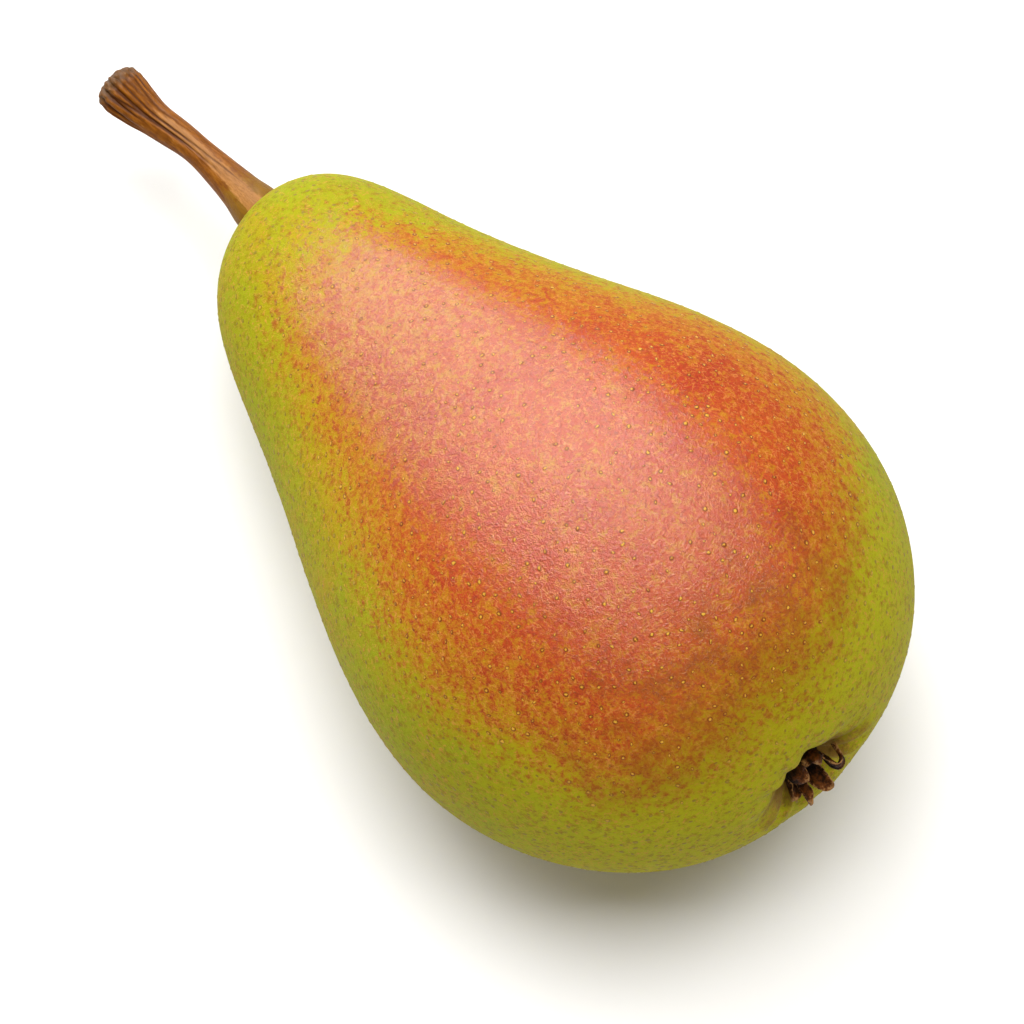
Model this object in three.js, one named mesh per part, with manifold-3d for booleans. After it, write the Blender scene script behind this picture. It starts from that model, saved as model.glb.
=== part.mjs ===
// A whole dessert pear lying on its side, in millimetres, with +Z up.
// +X runs level from the stem end towards the calyx end.
// The origin is on the small flat spot that the fruit rests on.
// Each piece is shaped in the fruit's own frame and then laid down:
// there x is the distance from the stem pole along the fruit's axis, y is sideways,
// and z is away from the ground.

import * as THREE from 'three';
import { mergeVertices } from 'three/addons/utils/BufferGeometryUtils.js';
import Module from 'manifold-3d';

// Fruit: its length, and the terms of its radius, from the mean radius to the roundness of the crown
const FRUIT_LENGTH = 101;
const MEAN_RADIUS = 31.7;
const TAPER = -10.6;
const WAIST = 3.0;
const NECK = 2.0;
const SHOULDER = 0.9;
const CROWN = -0.35;

// The fruit's axis bows a little at mid length, and the neck leans the other way from the belly
const BOW_SIDEWAYS = -1.1;
const BOW_DOWN = -1.2;
const NECK_LEAN = -0.2;

// The crown stands a little higher on one side of the stem
const CROWN_SLANT = 0.06;
const CROWN_REACH = 9;

// Five faint lobes that fade out towards the stem
const LOBE_COUNT = 5;
const LOBE_HEIGHT = 0.25;
const LOBE_TURN = 0.5;

// Basin at the calyx end, off the pole to one side, wider sideways and with an uneven wall
const BASIN_DEPTH = 4.6;
const BASIN_RADIUS = 4.4;
const BASIN_SIDE_SHIFT = -0.8;
const BASIN_STRETCH = 0.16;
const BASIN_FOLD = 0.07;

// How the fruit lies: the tilt of its axis, and where its stem pole is
const REST_TILT = THREE.MathUtils.degToRad(10);
const STEM_POLE_X = -64.7;
const STEM_POLE_Y = 0.9;
const STEM_POLE_Z = 21.4;

// Stem: points of its centre line, and its outline as [distance from the sunk root, radius]
const STEM_CENTRE_LINE = [
  [3.4, 0.6, 0],
  [0, 0.6, 0],
  [-6, 0.7, 0.3],
  [-13, 0.3, 0.9],
  [-20.5, -0.8, 1.8],
  [-27, -1.1, 3.0],
];
const STEM_OUTLINE = [
  [0, 2.4],
  [3.4, 3.2],
  [7.3, 2.6],
  [11.5, 2.15],
  [15.5, 1.9],
  [19.3, 2.1],
  [22.5, 2.25],
  [25.9, 2.9],
  [28.4, 3.0],
  [30.3, 2.1],
];
const STEM_END_DOME = 0.7;
const RIDGE_COUNT = 8;
const RIDGE_HEIGHT = 0.16;
const RIDGE_TWIST = 0.12;

// Calyx: the cup that stands on the basin's floor
const CUP_BOTTOM_X = 94.9;
const CUP_TOP_X = 98.3;
const CUP_RADIUS = 2.5;
const CUP_WALL = 0.9;
const CUP_HOLLOW = 1.7;
const CUP_EDGE = 0.25;

// Sepals: where each springs from the cup (angle round the axis), its widest width,
// and its midrib as [height above the cup's rim, distance out from the axis, turn round the axis]
const SEPAL_THICKNESS = 0.7;
const SEPAL_THINNING = 0.35;
const SEPAL_CURL = 0.35;
const SEPAL_FOOT = 0.75;
const SEPAL_BELLY = 0.75;
const SEPAL_POINT = 2.2;
const SEPAL_TIP = 0.12;
const SEPALS = [
  { angle: 5, width: 1.7, rib: [[-0.9, 2.1, 0], [1.0, 2.7, 0], [2.8, 3.2, 0], [2.4, 4.1, 0], [0.6, 4.7, 0]] },
  { angle: 52, width: 2.5, rib: [[-0.9, 2.0, 0], [0.3, 2.6, 0], [1.0, 2.7, 0], [1.3, 1.9, 0]] },
  { angle: 128, width: 2.7, rib: [[-0.9, 2.0, 0], [0.3, 2.5, 0], [1.0, 2.3, 0], [1.1, 1.5, 0]] },
  { angle: 190, width: 2.2, rib: [[-0.9, 2.1, 0], [0.4, 2.7, 0], [1.2, 3.2, 0], [1.9, 3.8, 0]] },
  { angle: 234, width: 2.1, rib: [[-0.9, 2.1, 0], [1.0, 2.5, 0], [2.4, 2.7, -4], [3.6, 3.0, -8]] },
  { angle: 290, width: 2.9, rib: [[-0.9, 2.1, 0], [1.0, 2.5, 0], [2.3, 2.9, 0], [3.5, 3.6, 4]] },
];

// Stamens: dried stubs standing in the cup
const STAMEN_COUNT = 7;
const STAMEN_RADIUS = 0.28;
const STAMEN_RING = 0.7;
const STAMEN_HEIGHT = 2.4;
const STAMEN_ROOT = 0.5;
const STAMEN_TAPER = 0.6;
const STAMEN_FIRST_ANGLE = 20;
const STAMEN_SWEEP = 15;
const STAMEN_LEAN = 0.5;
const STAMEN_LEAN_SPREAD = 0.2;

// Room left between one piece and the next
const GAP = 0.3;

// Fineness of the surfaces
const FRUIT_RINGS = 56;
const FRUIT_SIDES = 56;
const STEM_RINGS = 27;
const STEM_SIDES = 24;
const CUP_SIDES = 24;
const SEPAL_RINGS = 10;
const SEPAL_SIDES = 8;
const STAMEN_RINGS = 4;
const STAMEN_SIDES = 6;

const wasm = await Module();
wasm.setup();

// The fruit's frame laid down on the ground
const laidDown = new THREE.Matrix4()
  .makeTranslation(STEM_POLE_X, STEM_POLE_Y, STEM_POLE_Z)
  .multiply(new THREE.Matrix4().makeRotationY(-REST_TILT));

// A closed surface through rings of points of equal count, with its two ends drawn to a point each
function loft(startPoint, rings, endPoint) {
  const sides = rings[0].length;
  const positions = [...startPoint];
  rings.forEach((ring) => ring.forEach((point) => positions.push(...point)));
  positions.push(...endPoint);
  const endIndex = 1 + rings.length * sides;
  const at = (ring, side) => 1 + ring * sides + (side % sides);
  const faces = [];
  for (let side = 0; side < sides; side += 1) {
    faces.push(0, at(0, side + 1), at(0, side));
    for (let ring = 0; ring < rings.length - 1; ring += 1) {
      faces.push(at(ring, side), at(ring, side + 1), at(ring + 1, side));
      faces.push(at(ring, side + 1), at(ring + 1, side + 1), at(ring + 1, side));
    }
    faces.push(endIndex, at(rings.length - 1, side), at(rings.length - 1, side + 1));
  }
  const geometry = new THREE.BufferGeometry();
  geometry.setAttribute('position', new THREE.Float32BufferAttribute(positions, 3));
  geometry.setIndex(faces);
  return geometry;
}

// The fruit's radius where psi runs from 0 at the stem pole to pi at the calyx pole
function fruitRadius(psi) {
  const terms = [MEAN_RADIUS, TAPER, WAIST, NECK, SHOULDER, CROWN];
  const girth = terms.reduce((sum, term, order) => sum + term * Math.cos(order * psi), 0);
  return girth * Math.sin(psi);
}

// How deep the basin is at a point y, z of the calyx end
function basinDip(y, z) {
  const out = Math.hypot(y - BASIN_SIDE_SHIFT, z);
  const angle = Math.atan2(z, y - BASIN_SIDE_SHIFT);
  const uneven = 1 + BASIN_STRETCH * Math.cos(2 * angle) + BASIN_FOLD * Math.cos(LOBE_COUNT * angle);
  return BASIN_DEPTH * Math.exp(-((out / (BASIN_RADIUS * uneven)) ** 2));
}

// A point of the skin, phi being the angle round the axis from the side
function skinPoint(psi, phi) {
  const x = FRUIT_LENGTH * (1 - Math.cos(psi)) / 2;
  const along = x / FRUIT_LENGTH;
  const bow = Math.sin(Math.PI * along);
  const lean = Math.sin(2 * Math.PI * along);
  const lobe = LOBE_HEIGHT * along ** 2 * Math.cos(LOBE_COUNT * phi + LOBE_TURN);
  const radius = fruitRadius(psi) + lobe * Math.sin(psi);
  const y = radius * Math.cos(phi);
  const z = radius * Math.sin(phi);
  const dip = along > 0.5 ? basinDip(y, z) : CROWN_SLANT * y * Math.exp(-((x / CROWN_REACH) ** 2));
  return [x - dip, y + BOW_SIDEWAYS * bow + NECK_LEAN * lean, z + BOW_DOWN * bow];
}

function fruitSurface() {
  const rings = [];
  for (let ring = 1; ring < FRUIT_RINGS; ring += 1) {
    const psi = Math.PI * ring / FRUIT_RINGS;
    const points = [];
    for (let side = 0; side < FRUIT_SIDES; side += 1) {
      points.push(skinPoint(psi, 2 * Math.PI * side / FRUIT_SIDES));
    }
    rings.push(points);
  }
  return loft(skinPoint(0, 0), rings, skinPoint(Math.PI, 0));
}

// The stem as a tube round its centre line, or the socket that holds it when it is made wider by a margin
function stemSurface(ridgeHeight, margin) {
  const line = new THREE.CatmullRomCurve3(STEM_CENTRE_LINE.map((point) => new THREE.Vector3(...point)));
  const outline = new THREE.SplineCurve(STEM_OUTLINE.map((point) => new THREE.Vector2(...point)));
  const length = line.getLength();
  const sideways = new THREE.Vector3(0, 1, 0);
  const rings = [];
  for (let ring = 0; ring <= STEM_RINGS; ring += 1) {
    const { x: distance, y: outlineRadius } = outline.getPoint(ring / STEM_RINGS);
    const share = Math.min(1, distance / length);
    const centre = line.getPointAt(share);
    const along = line.getTangentAt(share);
    const across = sideways.clone().addScaledVector(along, -sideways.dot(along)).normalize();
    const up = new THREE.Vector3().crossVectors(along, across);
    const ridgeNow = ridgeHeight * share;
    const points = [];
    for (let side = 0; side < STEM_SIDES; side += 1) {
      const angle = 2 * Math.PI * side / STEM_SIDES;
      const ridge = ridgeNow * Math.cos(RIDGE_COUNT * angle + RIDGE_TWIST * distance);
      const radius = outlineRadius + ridge + margin;
      const point = centre.clone();
      point.addScaledVector(across, radius * Math.cos(angle));
      point.addScaledVector(up, radius * Math.sin(angle));
      points.push(point.toArray());
    }
    rings.push(points);
  }
  const root = line.getPointAt(0).addScaledVector(line.getTangentAt(0), -margin);
  const tip = line.getPointAt(1).addScaledVector(line.getTangentAt(1), STEM_END_DOME + margin);
  return loft(root.toArray(), rings, tip.toArray());
}

// A ring round the calyx's own axis, phi running as on the fruit
function calyxRing(x, radius, sides) {
  const points = [];
  for (let side = 0; side < sides; side += 1) {
    const phi = 2 * Math.PI * side / sides;
    points.push([x, BASIN_SIDE_SHIFT + radius * Math.cos(phi), radius * Math.sin(phi)]);
  }
  return points;
}

function cupSurface() {
  const inside = CUP_RADIUS - CUP_WALL;
  const floor = CUP_TOP_X - CUP_HOLLOW;
  const outline = [
    [CUP_BOTTOM_X, CUP_RADIUS - CUP_EDGE],
    [CUP_BOTTOM_X + CUP_EDGE, CUP_RADIUS],
    [CUP_TOP_X - CUP_EDGE, CUP_RADIUS],
    [CUP_TOP_X, CUP_RADIUS - CUP_EDGE],
    [CUP_TOP_X, inside + CUP_EDGE],
    [floor + CUP_EDGE, inside],
    [floor, inside - CUP_EDGE],
  ];
  const rings = outline.map(([x, radius]) => calyxRing(x, radius, CUP_SIDES));
  return loft([CUP_BOTTOM_X, BASIN_SIDE_SHIFT, 0], rings, [floor, BASIN_SIDE_SHIFT, 0]);
}

// The room cut out of the fruit for the cup
function cupSocketSurface() {
  const radius = CUP_RADIUS + GAP;
  const rings = [
    calyxRing(CUP_BOTTOM_X - GAP, radius, CUP_SIDES),
    calyxRing(CUP_TOP_X + GAP, radius, CUP_SIDES),
  ];
  return loft([CUP_BOTTOM_X - GAP, BASIN_SIDE_SHIFT, 0], rings, [CUP_TOP_X + GAP, BASIN_SIDE_SHIFT, 0]);
}

// A point given as height above the cup's rim, distance out from the calyx's axis and angle round it
function calyxPoint(height, out, degrees) {
  const phi = THREE.MathUtils.degToRad(degrees);
  return new THREE.Vector3(CUP_TOP_X + height, BASIN_SIDE_SHIFT + out * Math.cos(phi), out * Math.sin(phi));
}

// A pointed blade, widest a third of the way along, whose edges curl inwards
function sepalSurface({ angle, width, rib }) {
  const ribPoints = rib.map(([height, out, turn]) => calyxPoint(height, out, angle + turn));
  const midrib = new THREE.CatmullRomCurve3(ribPoints);
  const phi = THREE.MathUtils.degToRad(angle);
  const across = new THREE.Vector3(0, -Math.sin(phi), Math.cos(phi));
  const rings = [];
  for (let ring = 0; ring <= SEPAL_RINGS; ring += 1) {
    const share = ring / SEPAL_RINGS;
    const centre = midrib.getPoint(share);
    const along = midrib.getTangent(share);
    const inwards = new THREE.Vector3().crossVectors(along, across).normalize();
    const belly = SEPAL_FOOT + SEPAL_BELLY * share * (1 - share);
    const taper = Math.sqrt(1 - share ** SEPAL_POINT) * belly + SEPAL_TIP;
    const halfWidth = width / 2 * taper;
    const halfThickness = SEPAL_THICKNESS / 2 * (1 - SEPAL_THINNING * share);
    const points = [];
    for (let side = 0; side < SEPAL_SIDES; side += 1) {
      const turn = 2 * Math.PI * side / SEPAL_SIDES;
      const point = centre.clone();
      point.addScaledVector(across, halfWidth * Math.cos(turn));
      const curl = SEPAL_CURL * taper * Math.cos(turn) ** 2;
      point.addScaledVector(inwards, halfThickness * Math.sin(turn) + curl);
      points.push(point.toArray());
    }
    rings.push(points);
  }
  return loft(midrib.getPoint(0).toArray(), rings, midrib.getPoint(1).toArray());
}

// A dried stub that leans outwards from the cup's floor
function stamenSurface(index) {
  const angle = 360 * index / STAMEN_COUNT + STAMEN_FIRST_ANGLE;
  const lean = STAMEN_LEAN + STAMEN_LEAN_SPREAD * Math.cos(Math.PI * index);
  const floor = -CUP_HOLLOW - STAMEN_ROOT;
  const foot = calyxPoint(floor, STAMEN_RING, angle);
  const head = calyxPoint(floor + STAMEN_HEIGHT, STAMEN_RING + lean, angle + STAMEN_SWEEP);
  const rings = [];
  for (let ring = 0; ring <= STAMEN_RINGS; ring += 1) {
    const centre = foot.clone().lerp(head, ring / STAMEN_RINGS);
    const radius = STAMEN_RADIUS * (ring === STAMEN_RINGS ? STAMEN_TAPER : 1);
    const points = [];
    for (let side = 0; side < STAMEN_SIDES; side += 1) {
      const turn = 2 * Math.PI * side / STAMEN_SIDES;
      points.push([centre.x, centre.y + radius * Math.cos(turn), centre.z + radius * Math.sin(turn)]);
    }
    rings.push(points);
  }
  return loft(foot.toArray(), rings, head.toArray());
}

// A closed geometry as a solid that can be cut and joined
function toSolid(geometry) {
  const bare = geometry.clone();
  bare.deleteAttribute('normal');
  bare.deleteAttribute('uv');
  const merged = mergeVertices(bare);
  return new wasm.Manifold(new wasm.Mesh({
    numProp: 3,
    vertProperties: new Float32Array(merged.attributes.position.array),
    triVerts: new Uint32Array(merged.index.array),
  }));
}

function toGeometry(solid) {
  const mesh = solid.getMesh();
  const geometry = new THREE.BufferGeometry();
  geometry.setAttribute('position', new THREE.BufferAttribute(mesh.vertProperties, 3));
  geometry.setIndex(new THREE.BufferAttribute(mesh.triVerts, 1));
  return geometry;
}

// A piece of the fruit's own frame, laid down
function laidSolid(geometry) {
  return toSolid(geometry.applyMatrix4(laidDown));
}

// Everything below the ground, which cuts the flat spot
function groundBlock() {
  const block = new THREE.BoxGeometry(2 * FRUIT_LENGTH, 2 * FRUIT_LENGTH, FRUIT_LENGTH);
  return block.translate(0, 0, -FRUIT_LENGTH / 2);
}

function buildFruit() {
  return laidSolid(fruitSurface())
    .subtract(laidSolid(stemSurface(0, GAP)))
    .subtract(laidSolid(cupSocketSurface()))
    .subtract(toSolid(groundBlock()));
}

function buildStem() {
  return laidSolid(stemSurface(RIDGE_HEIGHT, 0));
}

function buildCalyx() {
  let calyx = laidSolid(cupSurface());
  SEPALS.forEach((sepal) => {
    calyx = calyx.add(laidSolid(sepalSurface(sepal)));
  });
  for (let index = 0; index < STAMEN_COUNT; index += 1) {
    calyx = calyx.add(laidSolid(stamenSurface(index)));
  }
  return calyx;
}

function piece(name, solid, color, roughness) {
  const geometry = toGeometry(solid);
  geometry.computeVertexNormals();
  const mesh = new THREE.Mesh(geometry, new THREE.MeshStandardMaterial({ color, roughness, metalness: 0 }));
  mesh.name = name;
  return mesh;
}

const pear = new THREE.Group();
pear.add(piece('fruit', buildFruit(), 0xc98a45, 0.42));
pear.add(piece('stem', buildStem(), 0x9a6233, 0.6));
pear.add(piece('calyx', buildCalyx(), 0x5b3a22, 0.8));

export default pear;
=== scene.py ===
"""A blushed pear lying on its side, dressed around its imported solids.

Everything is in metres and in the row frame: +X runs level from the stem end towards the calyx
end, +Z is up, and the origin is on the flat spot that the fruit rests on. Each piece is shaped
in the fruit's own frame, where x is the distance from the stem pole along the fruit's axis, y is
sideways and z is away from the ground, and is then laid down.
"""

import logging
import math
from dataclasses import dataclass
from enum import Enum

import bmesh
import bpy
import numpy as np
from bpy.types import Material, Mesh, Node, NodeSocket, NodeTree, Object
from mathutils import Matrix, Vector


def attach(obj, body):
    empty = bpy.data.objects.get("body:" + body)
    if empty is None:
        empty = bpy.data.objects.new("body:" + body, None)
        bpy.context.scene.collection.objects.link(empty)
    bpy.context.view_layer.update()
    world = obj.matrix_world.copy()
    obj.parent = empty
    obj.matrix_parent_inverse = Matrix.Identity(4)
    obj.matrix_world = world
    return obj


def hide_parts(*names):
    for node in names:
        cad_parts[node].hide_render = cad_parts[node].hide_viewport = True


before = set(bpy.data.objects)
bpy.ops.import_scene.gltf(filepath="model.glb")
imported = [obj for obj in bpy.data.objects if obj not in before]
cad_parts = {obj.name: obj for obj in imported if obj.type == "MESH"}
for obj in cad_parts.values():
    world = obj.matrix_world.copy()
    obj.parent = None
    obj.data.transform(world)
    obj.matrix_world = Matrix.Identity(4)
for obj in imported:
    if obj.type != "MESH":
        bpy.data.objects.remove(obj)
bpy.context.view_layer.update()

MM = 0.001
BODY = "root"

log = logging.getLogger("pear")


class Attribute(Enum):
    """Names of the values that a mesh carries for its finish."""

    ALONG = "along"
    GLOSS = "gloss"
    BLUSH = "blush"
    BASIN = "basin"
    RIM = "rim"
    CHANCE = "chance"
    GROOVE = "groove"
    FACE = "face"
    EDGE = "edge"


def srgb(red: int, green: int, blue: int) -> tuple[float, float, float, float]:
    """Turns a colour seen on a screen into the linear one that a shader takes.

    Args:
        red: Red from 0 to 255.
        green: Green from 0 to 255.
        blue: Blue from 0 to 255.

    Returns:
        The linear colour with full opacity.
    """
    linear = []
    for part in (red, green, blue):
        share = part / 255
        linear.append(share / 12.92 if share <= 0.04045 else ((share + 0.055) / 1.055) ** 2.4)
    return (*linear, 1.0)


def feed(port: NodeSocket, value: object) -> None:
    """Links a wire or a socket into a port, or sets the port's own value.

    Args:
        port: The input to fill.
        value: A Wire, an output socket, or a plain value.
    """
    if isinstance(value, Wire):
        value = value.socket
    if isinstance(value, NodeSocket):
        port.id_data.links.new(value, port)
    else:
        port.default_value = value


def add_node(tree: NodeTree, kind: str, ports: dict | None = None, **settings: object) -> Node:
    """Adds a node with its settings and inputs.

    Args:
        tree: The tree to add it to.
        kind: The node's type.
        ports: Values or links by input name or index.
        settings: Properties of the node.

    Returns:
        The new node.
    """
    node = tree.nodes.new(kind)
    for name, value in settings.items():
        setattr(node, name, value)
    for name, value in (ports or {}).items():
        feed(node.inputs[name], value)
    return node


def shown(ports: bpy.types.bpy_prop_collection, name: str) -> NodeSocket:
    """Returns the port of that name which the node's settings switch on."""
    return next(port for port in ports if port.name == name and port.enabled)


class Wire:
    """A value in a node tree that can be worked with as a number."""

    def __init__(self, socket: NodeSocket) -> None:
        """Holds an output socket and its tree."""
        self.tree = socket.id_data
        self.socket = socket

    def math(self, operation: str, *others: "Wire | float") -> "Wire":
        """Passes this value and others through a Math node.

        Args:
            operation: What the node does.
            others: The node's further inputs.

        Returns:
            The result.
        """
        node = add_node(self.tree, "ShaderNodeMath", operation=operation)
        for port, value in zip(node.inputs, (self, *others)):
            feed(port, value)
        return Wire(node.outputs[0])

    def __add__(self, other: "Wire | float") -> "Wire":
        """Adds."""
        return self.math("ADD", other)

    def __sub__(self, other: "Wire | float") -> "Wire":
        """Subtracts."""
        return self.math("SUBTRACT", other)

    def __mul__(self, other: "Wire | float") -> "Wire":
        """Multiplies."""
        return self.math("MULTIPLY", other)

    def __truediv__(self, other: "Wire | float") -> "Wire":
        """Divides."""
        return self.math("DIVIDE", other)

    def __rsub__(self, other: float) -> "Wire":
        """Subtracts this value from a number."""
        return self * -1.0 + other

    def squared(self) -> "Wire":
        """Returns this value times itself."""
        return self * self

    def cosine(self) -> "Wire":
        """Returns the cosine."""
        return self.math("COSINE")

    def sine(self) -> "Wire":
        """Returns the sine."""
        return self.math("SINE")

    def hill(self, reach: "Wire | float") -> "Wire":
        """Returns a bell curve of this value, 1 at nought and fading over the reach."""
        return ((self / reach).squared() * -1.0).math("EXPONENT")

    def step(self, low: "Wire | float", high: "Wire | float", start: float = 0.0,
             end: float = 1.0) -> "Wire":
        """Eases from one number to another as this value rises.

        Args:
            low: This value where the change starts.
            high: This value where the change ends.
            start: The number up to there.
            end: The number from there on.

        Returns:
            The eased number.
        """
        ports = {0: self, 1: low, 2: high, 3: start, 4: end}
        node = add_node(self.tree, "ShaderNodeMapRange", ports, interpolation_type="SMOOTHSTEP")
        return Wire(node.outputs[0])


def point_of(tree: NodeTree, x: Wire | float, y: Wire | float, z: Wire | float) -> NodeSocket:
    """Joins three values into a vector."""
    return add_node(tree, "ShaderNodeCombineXYZ", {0: x, 1: y, 2: z}).outputs[0]


def noise(place: NodeSocket, per_mm: float, detail: float = 2.0, roughness: float = 0.5,
          distortion: float = 0.0) -> Wire:
    """Adds a noise that reads a place given in millimetres.

    Args:
        place: The place, in millimetres.
        per_mm: How many features there are to a millimetre.
        detail: How many finer layers it has.
        roughness: How strong the finer layers are.
        distortion: How much it is pulled about.

    Returns:
        The noise, mostly between 0.25 and 0.75.
    """
    ports = {"Vector": place, "Scale": per_mm, "Detail": detail, "Roughness": roughness,
             "Distortion": distortion}
    return Wire(add_node(place.id_data, "ShaderNodeTexNoise", ports).outputs[0])


def cells(place: NodeSocket, per_mm: float) -> Wire:
    """Adds a cell pattern that reads a place in millimetres, and returns its distance."""
    node = add_node(place.id_data, "ShaderNodeTexVoronoi", {"Vector": place, "Scale": per_mm})
    return Wire(node.outputs["Distance"])


def stretch(place: NodeSocket, by: tuple[float, float, float]) -> NodeSocket:
    """Scales a place by a factor on each axis."""
    node = add_node(place.id_data, "ShaderNodeVectorMath", {0: place, 1: by}, operation="MULTIPLY")
    return node.outputs[0]


def blended(share: Wire, first: object, second: object, manner: str = "MIX") -> NodeSocket:
    """Mixes two colours.

    Args:
        share: How much of the second colour shows.
        first: A colour or a socket.
        second: A colour or a socket.
        manner: The blend type.

    Returns:
        The mixed colour.
    """
    ports = {0: share, 6: first, 7: second}
    return add_node(share.tree, "ShaderNodeMix", ports, data_type="RGBA", blend_type=manner).outputs[2]


def carried(tree: NodeTree, name: Attribute) -> Wire:
    """Returns a number which the mesh carries."""
    return Wire(add_node(tree, "ShaderNodeAttribute", attribute_name=name.value).outputs["Fac"])


def place_in_mm(tree: NodeTree) -> NodeSocket:
    """Returns the place on the piece, in millimetres."""
    coordinates = add_node(tree, "ShaderNodeTexCoord").outputs["Object"]
    return stretch(coordinates, (1 / MM, 1 / MM, 1 / MM))


def bumped(height: Wire, depth: float) -> NodeSocket:
    """Returns the normal of a surface raised by a height, depth metres for each unit."""
    ports = {"Strength": 1.0, "Distance": depth, "Height": height}
    return add_node(height.tree, "ShaderNodeBump", ports).outputs[0]


def new_material(name: str, **constants: object) -> tuple[Material, NodeTree, Node]:
    """Makes a material with one Principled shader.

    Args:
        name: The material's name.
        constants: Values set on the shader's own sockets, with _ for a space in their names.

    Returns:
        The material, its tree and its shader.
    """
    material = bpy.data.materials.new(name)
    material.use_nodes = True
    tree = material.node_tree
    shader = tree.nodes["Principled BSDF"]
    for key, value in constants.items():
        shader.inputs[key.replace("_", " ")].default_value = value
    return material, tree, shader


class Recipe:
    """A Geometry Nodes tree with named inputs, whose result is kept as a plain mesh."""

    def __init__(self, name: str) -> None:
        """Starts a tree that takes in and gives out a geometry."""
        self.tree = bpy.data.node_groups.new(name, "GeometryNodeTree")
        self.values: dict[str, object] = {}
        for direction in ("INPUT", "OUTPUT"):
            self.tree.interface.new_socket("Geometry", in_out=direction,
                                           socket_type="NodeSocketGeometry")

    def given(self, name: str, value: object, kind: str = "NodeSocketFloat") -> Wire:
        """Adds a named input.

        Args:
            name: The input's name.
            value: Its value.
            kind: Its type.

        Returns:
            The wire that carries it.
        """
        item = self.tree.interface.new_socket(name, in_out="INPUT", socket_type=kind)
        self.values[item.identifier] = value
        return Wire(self.tree.nodes.new("NodeGroupInput").outputs[name])

    def size(self, owner: object, field: str, kind: str = "NodeSocketFloat") -> Wire:
        """Adds an input with the name and the value of one of its owner's fields."""
        return self.given(field.replace("_", " ").capitalize(), getattr(owner, field), kind)

    def node(self, kind: str, ports: dict | None = None, **settings: object) -> Node:
        """Adds a node to the tree."""
        return add_node(self.tree, kind, ports, **settings)

    def place(self) -> tuple[Wire, ...]:
        """Returns the X, Y and Z of each point."""
        position = self.node("GeometryNodeInputPosition").outputs[0]
        return tuple(Wire(part) for part in self.node("ShaderNodeSeparateXYZ", {0: position}).outputs)

    def store(self, geometry: NodeSocket, name: Attribute, value: Wire) -> NodeSocket:
        """Makes the geometry carry a number for its finish.

        Args:
            geometry: The geometry so far.
            name: The number's name.
            value: The number at each point.

        Returns:
            The geometry that carries it.
        """
        node = self.node("GeometryNodeStoreNamedAttribute", {"Geometry": geometry, "Name": name.value},
                         data_type="FLOAT", domain="POINT")
        feed(shown(node.inputs, "Value"), value)
        return node.outputs[0]

    def make(self, name: str, geometry: NodeSocket, material: Material,
             start: Mesh | None = None) -> Object:
        """Ends the tree, runs it, and keeps the result.

        Args:
            name: The piece's name.
            geometry: What the tree has made so far.
            material: The finish that the tree sets.
            start: The mesh that the tree reads, if it reads one.

        Returns:
            An object with a plain mesh and no modifier.
        """
        finish = self.given("Finish", material, "NodeSocketMaterial")
        smooth = self.node("GeometryNodeSetShadeSmooth", {"Geometry": geometry})
        whole = self.node("GeometryNodeRealizeInstances", {"Geometry": smooth.outputs[0]})
        dressed = self.node("GeometryNodeSetMaterial", {"Geometry": whole.outputs[0], "Material": finish})
        feed(self.tree.nodes.new("NodeGroupOutput").inputs[0], dressed.outputs[0])
        piece = bpy.data.objects.new(name, start.copy() if start else bpy.data.meshes.new(name))
        bpy.context.scene.collection.objects.link(piece)
        modifier = piece.modifiers.new(name, "NODES")
        modifier.node_group = self.tree
        for identifier, value in self.values.items():
            modifier[identifier] = value
        graph = bpy.context.evaluated_depsgraph_get()
        made = bpy.data.meshes.new_from_object(piece.evaluated_get(graph), preserve_all_data_layers=True,
                                               depsgraph=graph)
        piece.modifiers.remove(modifier)
        piece.data = made
        made.name = name
        return piece


def hand_over(piece: Object, slot: str, *nodes: str) -> None:
    """Fixes a finished piece to the part.

    Args:
        piece: The finished piece.
        slot: The record's slot; not used.
        nodes: The solids that it stands for.
    """
    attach(piece, BODY)
    if nodes:
        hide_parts(*nodes)
    log.info("%s: %d faces", piece.name, len(piece.data.polygons))


@dataclass(frozen=True)
class Pose:
    """How the fruit lies: the tilt of its axis and the place of its stem pole."""

    tilt: float = math.radians(10)
    stem_pole: tuple[float, float, float] = (-64.7 * MM, 0.9 * MM, 21.4 * MM)

    def lay_down(self, points: np.ndarray) -> np.ndarray:
        """Moves points from the fruit's own frame to the row frame."""
        x, y, z = points[..., 0], points[..., 1], points[..., 2]
        turned = [x * math.cos(self.tilt) - z * math.sin(self.tilt), y,
                  x * math.sin(self.tilt) + z * math.cos(self.tilt)]
        return np.stack(turned, axis=-1) + np.array(self.stem_pole)


def smooth_line(points: np.ndarray, shares: np.ndarray) -> np.ndarray:
    """Runs a smooth line through points.

    Args:
        points: The points, one to a row.
        shares: Where to read the line, from 0 at the first point to 1 at the last, by length.

    Returns:
        One point for each share.
    """
    steps = np.linalg.norm(np.diff(points, axis=0), axis=1)
    knots = np.concatenate([[0.0], np.cumsum(steps)])
    slopes = np.gradient(points, knots, axis=0)
    at = np.clip(shares, 0, 1) * knots[-1]
    span = np.clip(np.searchsorted(knots, at, side="right") - 1, 0, len(points) - 2)
    width = (knots[span + 1] - knots[span])[:, None]
    t = (at - knots[span])[:, None] / width
    return ((1 + 2 * t) * (1 - t) ** 2 * points[span] + t * (1 - t) ** 2 * width * slopes[span]
            + t * t * (3 - 2 * t) * points[span + 1] - t * t * (1 - t) * width * slopes[span + 1])


def unit(vectors: np.ndarray) -> np.ndarray:
    """Scales each vector to a length of 1."""
    return vectors / np.linalg.norm(vectors, axis=1, keepdims=True)


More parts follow.
